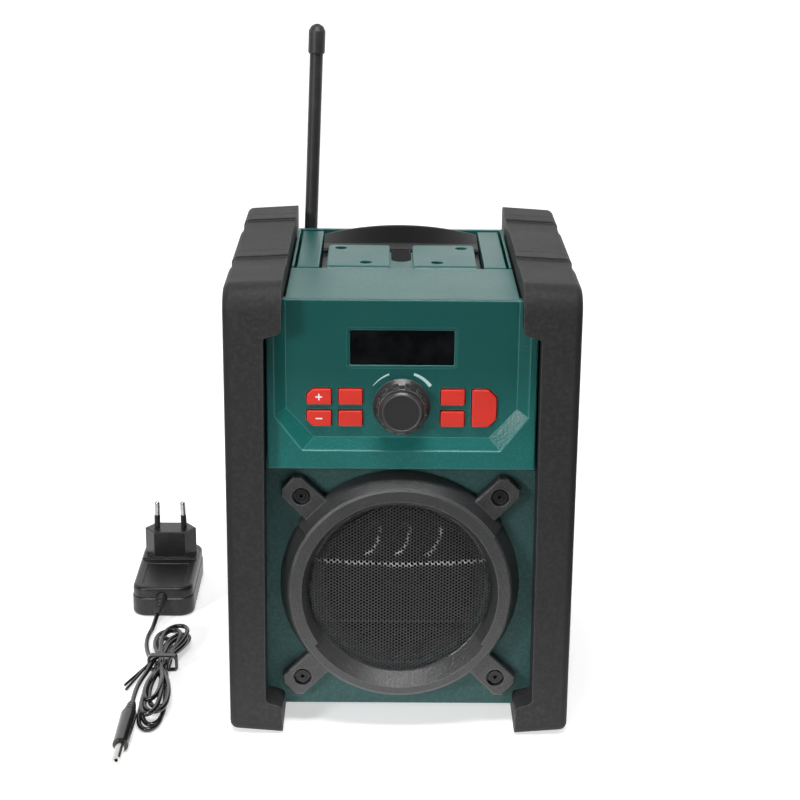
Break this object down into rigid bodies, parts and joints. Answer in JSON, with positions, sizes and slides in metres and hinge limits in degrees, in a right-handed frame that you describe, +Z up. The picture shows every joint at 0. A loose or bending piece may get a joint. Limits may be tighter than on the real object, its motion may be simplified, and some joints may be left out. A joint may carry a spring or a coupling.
{
  "type": "jobsite radio",
  "caption": "Rugged jobsite radio with side guards, round speaker, control panel, folding handle and antenna, with its corded wall adapter lying beside it",
  "frame": {"origin": "centre of the radio's base on the floor", "axes": "+Z up, -Y towards the speaker side, +X to the viewer's right when facing the speaker"},
  "size_m": [0.2782, 0.287, 0.391],
  "materials": {
    "guard": "fine moulded grain, low sheen",
    "housing": "matte moulded teal green plastic",
    "black_plastic": "satin black plastic",
    "antenna_rubber": "smooth black rubber",
    "button": "matte orange-red plastic",
    "knob": "satin dark grey plastic",
    "display": "dark clear window",
    "lcd": "grey display module",
    "ring": "textured dark grey plastic",
    "grille": "black painted perforated steel",
    "screw": "black oxide steel",
    "pin_steel": "bright steel",
    "plug_metal": "nickel plated",
    "board": "green circuit board",
    "component": "moulded component",
    "heat_sink": "extruded fins",
    "basket": "stamped steel",
    "magnet": "ferrite and steel",
    "cone": "pressed paper",
    "surround": "foam rubber",
    "cell": "wrapped dry cell",
    "cord": "black cord jacket"
  },
  "bodies": {
    "housing": {"right_guard": "guard", "left_guard": "guard", "guard_screws": "screw", "front_shell": "housing", "rear_shell": "housing", "shell_screws": "screw", "control_panel": "housing", "display_window": "display", "lcd_module": "lcd", "control_board": "board", "board_screws": "screw", "button_switches": "component", "encoder": "component", "top_cover": "housing", "cover_screws": "screw", "handle_pins": "pin_steel", "antenna_bracket": "black_plastic", "antenna_pin": "pin_steel", "speaker_ring": "ring", "ring_screws": "screw", "speaker_grille": "grille", "speaker_basket": "basket", "driver_screws": "screw", "speaker_magnet": "magnet", "speaker_surround": "surround", "speaker_cone": "cone", "dust_cap": "cone", "main_board": "board", "heat_sink": "heat_sink", "battery_box": "black_plastic", "battery_cells": "cell", "battery_contacts": "pin_steel", "door_pins": "pin_steel", "rear_sockets": "black_plastic", "adapter_base": "black_plastic", "adapter_lid": "black_plastic", "adapter_pins": "plug_metal", "pin_sleeves": "black_plastic", "strain_relief": "antenna_rubber", "adapter_cord": "cord", "cord_hank": "cord", "cord_tie": "cord", "plug_body": "cord", "plug_barrel": "plug_metal"},
    "knob": {"volume_knob": "knob", "encoder_shaft": "pin_steel"},
    "handle": {"carry_handle": "black_plastic"},
    "antenna": {"antenna_knuckle": "black_plastic", "antenna_rod": "antenna_rubber", "antenna_cap": "antenna_rubber"},
    "battery_cover": {"battery_door": "black_plastic"},
    "rear_flap": {"socket_flap": "antenna_rubber"},
    "tune_up_key": {"tune_up_button": "button"},
    "tune_down_key": {"tune_down_button": "button"},
    "menu_key": {"menu_button": "button"},
    "preset_key": {"preset_button": "button"},
    "power_key": {"power_button": "button"},
    "source_key": {"source_button": "button"},
    "play_key": {"play_button": "button"}
  },
  "joints": [
    {"name": "volume_turn", "type": "hinge", "parent": "housing", "child": "knob", "pos_m": [0, -0.1, 0.2003], "axis": [0, -1, 0], "continuous": true},
    {"name": "handle_swing", "type": "hinge", "parent": "housing", "child": "handle", "pos_m": [0, -0.0095, 0.2515], "axis": [1, 0, 0], "range_deg": [0, 90]},
    {"name": "antenna_fold", "type": "hinge", "parent": "housing", "child": "antenna", "pos_m": [-0.0589, 0.0935, 0.236], "axis": [-1, 0, 0], "range_deg": [0, 180]},
    {"name": "battery_door_swing", "type": "hinge", "parent": "housing", "child": "battery_cover", "pos_m": [0, 0.0876, 0.0387], "axis": [-1, 0, 0], "range_deg": [0, 100]},
    {"name": "socket_flap_swing", "type": "hinge", "parent": "housing", "child": "rear_flap", "pos_m": [0.045, 0.0849, 0.163], "axis": [-1, 0, 0], "range_deg": [0, 100]},
    {"name": "tune_up_press", "type": "slide", "parent": "housing", "child": "tune_up_key", "axis": [0, 1, 0], "range_m": [0, 0.0008], "stiffness_N_per_m": 900},
    {"name": "tune_down_press", "type": "slide", "parent": "housing", "child": "tune_down_key", "axis": [0, 1, 0], "range_m": [0, 0.0008], "stiffness_N_per_m": 900},
    {"name": "menu_press", "type": "slide", "parent": "housing", "child": "menu_key", "axis": [0, 1, 0], "range_m": [0, 0.0008], "stiffness_N_per_m": 900},
    {"name": "preset_press", "type": "slide", "parent": "housing", "child": "preset_key", "axis": [0, 1, 0], "range_m": [0, 0.0008], "stiffness_N_per_m": 900},
    {"name": "power_press", "type": "slide", "parent": "housing", "child": "power_key", "axis": [0, 1, 0], "range_m": [0, 0.0008], "stiffness_N_per_m": 900},
    {"name": "source_press", "type": "slide", "parent": "housing", "child": "source_key", "axis": [0, 1, 0], "range_m": [0, 0.0008], "stiffness_N_per_m": 900},
    {"name": "play_press", "type": "slide", "parent": "housing", "child": "play_key", "axis": [0, 1, 0], "range_m": [0, 0.0008], "stiffness_N_per_m": 900}
  ]
}
